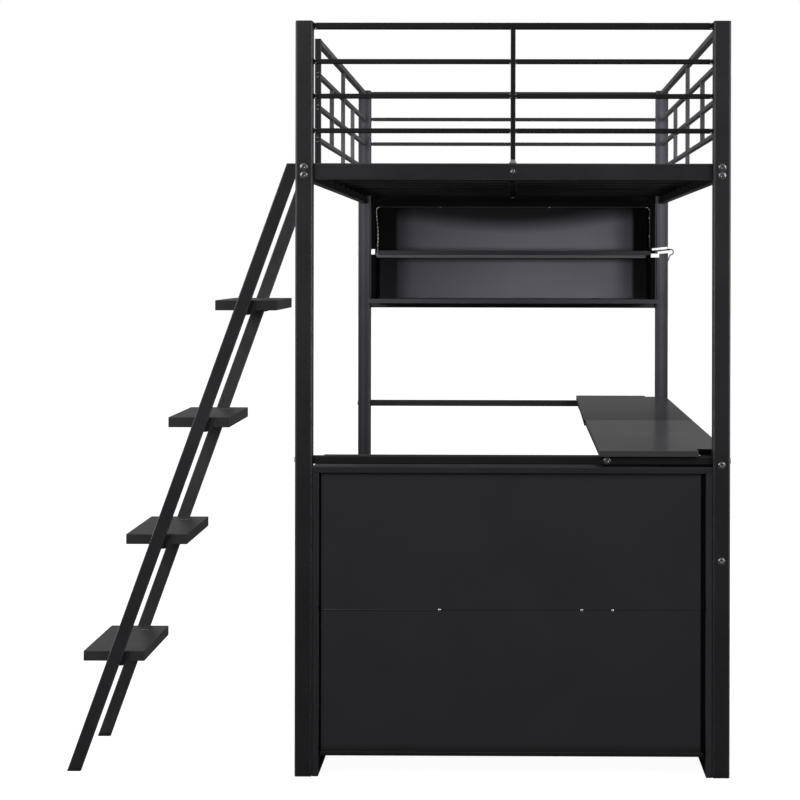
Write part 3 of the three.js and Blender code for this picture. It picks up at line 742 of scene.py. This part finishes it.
def make_diodes(spots):
    """A diode at every other spot, on the side of the ribbon that faces into the bay."""
    bay_middle = 1350
    diodes = Shape()
    for x, z, side, turn, middle in spots[::2]:
        inward = -1 if side.x * x + side.y * (z - bay_middle) > 0 else 1
        shift = inward * (STRIP_THICK / 2 + 0.1)
        cx, cz = x + side.x * shift * math.sin(turn), z + side.y * shift * math.sin(turn)
        half = (0.9 if abs(side.x) > 0.5 else 1.8, 0.9 if abs(side.x) < 0.5 else 1.8)
        diodes.block((cx - half[0], middle - STRIP_WIDE / 2 + 0.2, cz - half[1]),
                     (cx + half[0], middle + 1.5, cz + half[1]), 0.3, 1)
    diodes.make("led_diodes", DIODE, "led_strip")


def make_connectors():
    """The white connectors at the strip's two ends, each with a raised middle."""
    front, back = 1754.2, 1759.5
    white = Shape()
    for cx, cz, wide, tall, tilt in ((-461.5, 1281, 12, 18, 0), (484, 1293.2, 52, 7.4, 6),
                                     (494, 1281.2, 35, 8.6, 7), (468, 1270.4, 27, 13, 0)):
        turn = Matrix.Translation((cx, 0, cz)) @ Matrix.Rotation(-math.radians(tilt), 4, "Y")
        white.block((-wide / 2, front, -tall / 2), (wide / 2, back, tall / 2), 1.4, 3, turn)
        white.block((-wide / 2 + 3.5, front - 0.4, -tall / 2 + 1.2),
                    (wide / 2 - 2.5, front + 0.5, tall / 2 - 1.2), 0.4, 2, turn)
    white.make("led_connectors", WHITE, "led_strip")


make_diodes(make_strip_body())
make_connectors()


# Bolts and post caps. The bolts are named by what they hold, and the numbers are their heights

DECK_BOLTS = (1477, 1457)
CROSS_RAIL_BOLTS = 767
WALL_SIDE_BOLTS = (757, 525)


def make_bolts():
    bolts = Shape()
    for x in (-POST_X, POST_X):
        for z in DECK_BOLTS:
            add_bolt(bolts, x, 0, z, (0, -1, 0))
            add_bolt(bolts, x, BED_LENGTH, z, (0, 1, 0))
        side = math.copysign(1, x)
        for y in POST_YS:
            add_bolt(bolts, x + side * POST_HALF, y, CROSS_RAIL_BOLTS, (side, 0, 0))
    for z in WALL_SIDE_BOLTS:
        add_bolt(bolts, POST_X, 0, z, (0, -1, 0), 0.95)
        add_bolt(bolts, POST_X, BED_LENGTH, z, (0, 1, 0), 0.95)
    rail_face = 11
    for x, z, size in ((230, CROSS_RAIL_BOLTS, 0.95), (0, 1467, 0.6)):
        add_bolt(bolts, x, rail_face, z, (0, -1, 0), size)
        add_bolt(bolts, x, BED_LENGTH - rail_face, z, (0, 1, 0), size)
    add_bolt(bolts, 0, 1335, 1447.3, (0, 0, -1), 0.55)
    bolts.make("bolts", BOLT, "steel")


def make_caps():
    """A low crowned cap on each post, with rounded corners."""
    caps = Shape()
    for x in (-POST_X, POST_X):
        for y in POST_YS:
            rings = []
            for inset, lift in ((0.4, -0.6), (0.2, 0.2), (0.6, 0.9), (1.8, 1.5), (5.0, 2.0)):
                half = POST_HALF - inset
                corner = max(5.0 - inset, 1.0)
                ring = []
                for cx, cy, start in ((1, 1, 0), (-1, 1, 90), (-1, -1, 180), (1, -1, 270)):
                    for k in range(5):
                        angle = math.radians(start + 90 * k / 4)
                        ring.append((x + cx * (half - corner) + corner * math.cos(angle),
                                     y + cy * (half - corner) + corner * math.sin(angle),
                                     POST_TOP + lift))
                rings.append(ring)
            caps.rings(rings)
    caps.make("post_caps", PLASTIC, "foot_plastic")


make_bolts()
make_caps()


# Weld beads where the guards' bars meet, and the flare at the foot of the end guards' uprights, in a
# pale finish that is painted glint

GUARD_RAILS = (1820, 1734, 1650, 1566)
SIDE_UPRIGHTS = ((-508, (370, 762, 1130, 1478)), (506, (515, 970, 1402)))


def bead(shape, x, y, z, rx, ry, rz, around=8, up=4):
    """A small ellipsoid with its poles cut flat."""
    rings = []
    for k in range(1, up):
        tilt = math.pi * k / up
        rings.append([(x + rx * math.sin(tilt) * math.cos(i * math.tau / around),
                       y + ry * math.sin(tilt) * math.sin(i * math.tau / around),
                       z - rz * math.cos(tilt)) for i in range(around)])
    shape.rings(rings)


def make_welds():
    welds = Shape()
    for y in POST_YS:
        for z in GUARD_RAILS:
            half = 8 if z == GUARD_RAILS[0] else 6
            for side in (-1, 1):
                for above in (-1, 1):
                    height = z + above * (half - 1.6)
                    if above < 0 or z != GUARD_RAILS[0]:
                        bead(welds, side * 7.0, y - 6.0, height, 2.2, 1.6, 1.8)
                    bead(welds, side * 480.5, y - half, height, 3.2, 1.2, 1.9)
        foot = []
        for half, z in ((9.6, 1487.4), (9.0, 1488.4), (7.2, 1490.4), (6.2, 1493.0), (6.0, 1496.0)):
            foot.append([(cx * half, y + cy * min(half, 8.5), z)
                         for cx, cy in ((1, 1), (-1, 1), (-1, -1), (1, -1))])
        welds.rings(foot)
    for x, uprights in SIDE_UPRIGHTS:
        for y in uprights:
            for z in GUARD_RAILS[1:]:
                for side in (-1, 1):
                    bead(welds, x, y + side * 6.6, z - 5.4, 5.0, 2.0, 1.8)
                    bead(welds, x, y + side * 6.6, z + 5.4, 5.0, 2.0, 1.8)
    welds.make("weld_beads", WELD_GLINT, "steel")


make_welds()


# The bookcase's hardboard back in two sheets, with its joining strip, screws and shadow gaps

def make_bookcase_back():
    seam, foot, head = 403.0, 49.0, 736.0
    front, back = 12.3, 15.0
    sheets = (("bookcase_panel_upper", "bookcase_back_upper", seam + 0.4, head),
              ("bookcase_panel_lower", "bookcase_back_lower", foot, seam - 0.4))
    for name, node, low, high in sheets:
        panel = Shape()
        panel.block((-464.0, front, low), (457.0, back, high), 0.5, 2)
        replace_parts(panel.make(name, PANEL, "back_panel", sharp=12), node)
    edge = Shape()
    edge.block((-466.0, front - 1.7, foot), (462.0, front + 0.6, foot + 9.6), 0.8, 2)
    edge.make("bookcase_bottom_edge", SHELF_LOW, "back_panel", sharp=12)
    gaps = Shape()
    gaps.block((-469.0, back - 0.4, foot), (469.0, back + 0.2, head), 0.2, 1)
    gaps.make("bookcase_gaps", GAP_DARK, "back_panel")
    strip = Shape()
    # The joining strip is real, but it runs only where light catches the seam, and its lighter,
    # pale-edged finish is painted highlight
    strip.block((-459.0, front - 1.1, seam - 0.9), (-170.0, front + 0.3, seam + 1.1), 0.4, 2)
    strip.make("bookcase_joint_highlight", SHELF_TOP, "back_panel")
    screws = Shape()
    for x in (-176, 169, 244):
        turn = facing(x, front, seam, (0, -1, 0))
        screws.rings([circle(3.6, -0.2, 16), circle(3.6, 0.4, 16), circle(2.6, 1.2, 16),
                      circle(0.8, 1.5, 16)], turn=turn)
    screws.make("bookcase_screws", PLATED, "back_panel")


make_bookcase_back()


# The far desk board, which lies a little askew, and the desk's small dark parts

SEAM_INNER, FAR_INNER, BOARD_OUTER, NOTCH_X = 206.5, 217, 520, 450


def make_far_board():
    """The inner edge is further in at the far end, and a corner is notched round the post."""
    low, high = bed_box("desk_board_far")
    near_edge, notch_y = 935.2, BED_LENGTH - 50
    outline = [(SEAM_INNER, near_edge), (BOARD_OUTER, near_edge), (BOARD_OUTER, notch_y),
               (NOTCH_X, notch_y), (NOTCH_X, BED_LENGTH), (FAR_INNER, BED_LENGTH)]
    centre = Vector((350, 1450))
    eased = ((0.8, 0.0), (0.2, 0.3), (0.0, 0.8))
    levels = [(inset, low[2] + rise) for inset, rise in eased]
    levels += [(inset, high[2] - rise) for inset, rise in reversed(eased)]
    rings = []
    for inset, z in levels:
        ring = []
        for x, y in outline:
            away = Vector((x, y)) - centre
            ring.append((x - math.copysign(inset, away.x), y - math.copysign(inset, away.y), z))
        rings.append(ring)
    far = Shape()
    far.rings(rings)
    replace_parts(far.make("desk_far_top", DESK_FAR, "desk_board", sharp=12), "desk_board_far")


def make_desk_details():
    """The joining bracket at the seam, the dark edge of the corner notch, and the lip under it, a
    painted highlight.
    """
    dark = Shape()
    dark.block((206.8, 930, 776), (209.7, 952, 788.5), 0.6, 2)
    dark.block((450.5, 49.1, 777.6), (485.5, 49.8, 791.8), 0.2, 1)
    dark.make("desk_bracket", GAP_DARK, "desk_board")
    # A lighter lip under the notch: a painted highlight
    highlight_lip = Shape()
    arc = []
    for k in range(9):
        share = k / 8
        x = 457 + 24 * share
        crown = 771 + 5 * math.sin(math.pi * (0.25 + 0.25 * share))
        arc.append([(x, 43.5 + dy, crown + dz)
                    for dy, dz in ((0, 0), (1.0, 0), (1.0, 1.1), (0, 1.1))])
    highlight_lip.rings(arc)
    highlight_lip.make("desk_corner_highlight_lip", STRIP, "desk_board")


make_far_board()
make_desk_details()


# A small bright mark on top of each tread, near its far inner corner

def make_tread_details():
    marks = Shape()
    for n in range(1, 5):
        _, (inner, far, top) = bed_box(f"ladder_tread_{n}")
        marks.block((inner - 62, far - 60, top - 0.2), (inner - 40, far - 57.5, top + 0.35), 0.2, 1)
    marks.make("tread_marks", PLATED, "tread_board")


make_tread_details()


# Stage: a pale floor, a white surround that is darker in front of the bed, soft lights

def make_stage():
    scene = bpy.context.scene
    scene.view_settings.view_transform = "Standard"
    world = bpy.data.worlds.new("studio")
    scene.world = world
    world.use_nodes = True
    g = Graph(world.node_tree)
    direction = g.add("SeparateXYZ", {0: g.add("TexCoord").outputs["Generated"]})
    depth = g.math("MULTIPLY", g.remap(direction.outputs["Y"], -1.0, 0.0, 0.22, 0.60),
                   g.remap(direction.outputs["Y"], 0.3, 1.0, 1.0, 0.40))
    height = g.remap(direction.outputs["Z"], -0.3, 0.6, 0.35, 1.0)
    strength = g.math("MULTIPLY", depth, height)
    seen = g.add("LightPath").outputs["Is Camera Ray"]
    level = g.add("Mix", {"Factor": seen, "A": strength, "B": 1.0}, data_type="FLOAT")
    level = [s for s in level.outputs if s.type == "VALUE"][0]
    background = g.add("Background", {"Color": grey(1.0), "Strength": level})
    g.add("OutputWorld", {"Surface": background.outputs[0]})

    floor_mesh = bpy.data.meshes.new("floor")
    reach, clear_below = 40.0, 0.4 * MM
    corners = [(-reach, -reach, 0), (reach, -reach, 0), (reach, reach, 0), (-reach, reach, 0)]
    floor_mesh.from_pydata(corners, [], [(0, 1, 2, 3)])
    floor = bpy.data.objects.new("floor", floor_mesh)
    floor.location = (0, 0, -clear_below)
    scene.collection.objects.link(floor)
    material = bpy.data.materials.new("floor_paper")
    material.use_nodes = True
    g = Graph(material.node_tree)
    # Seen directly the floor glows near white; as a source of bounced light it is dim
    seen = g.add("LightPath").outputs["Is Camera Ray"]
    dim = g.add("BsdfDiffuse", {"Color": grey(0.14)})
    lit = g.add("BsdfDiffuse", {"Color": grey(0.25)})
    glow = g.add("Emission", {"Color": grey(1.0), "Strength": 0.96})
    bright = g.add("AddShader", {0: lit.outputs[0], 1: glow.outputs[0]})
    both = g.add("MixShader", {"Fac": seen, 1: dim.outputs[0], 2: bright.outputs[0]})
    g.add("OutputMaterial", {"Surface": both.outputs[0]})
    floor_mesh.materials.append(material)


# Name, place, target, size in metres, power in watts, spread in degrees
LIGHTS = (
    ("soft_left", (-2600, -2200, 2600), (0, 900, 1300), (2.0, 2.0), 58, 180),
    ("soft_right", (2800, -1600, 2300), (0, 900, 1300), (1.6, 2.2), 48, 180),
    ("far_fill_left", (-1000, 480, 1250), (60, 1960, 1290), (0.3, 0.12), 1.5, 60),
    ("far_fill_right", (1000, 480, 1250), (0, 1960, 1290), (0.3, 0.12), 1.3, 60),
    ("side_left", (-3300, 900, 1300), (0, 900, 1300), (2.8, 2.2), 40, 180),
    ("side_right", (3300, 900, 1300), (0, 900, 1300), (2.8, 2.2), 52, 180),
)


def area_light(name, place, target, size, power, spread):
    data = bpy.data.lights.new(name, "AREA")
    data.shape = "RECTANGLE"
    data.size, data.size_y = size
    data.energy = power
    data.spread = math.radians(spread)
    light = bpy.data.objects.new(name, data)
    light.location = place
    light.rotation_mode = "QUATERNION"
    light.rotation_quaternion = (target - place).to_track_quat("-Z", "Y")
    light.visible_camera = False
    bpy.context.scene.collection.objects.link(light)


make_stage()
for name, place, target, size, power, spread in LIGHTS:
    area_light(name, at(*place), at(*target), size, power, spread)
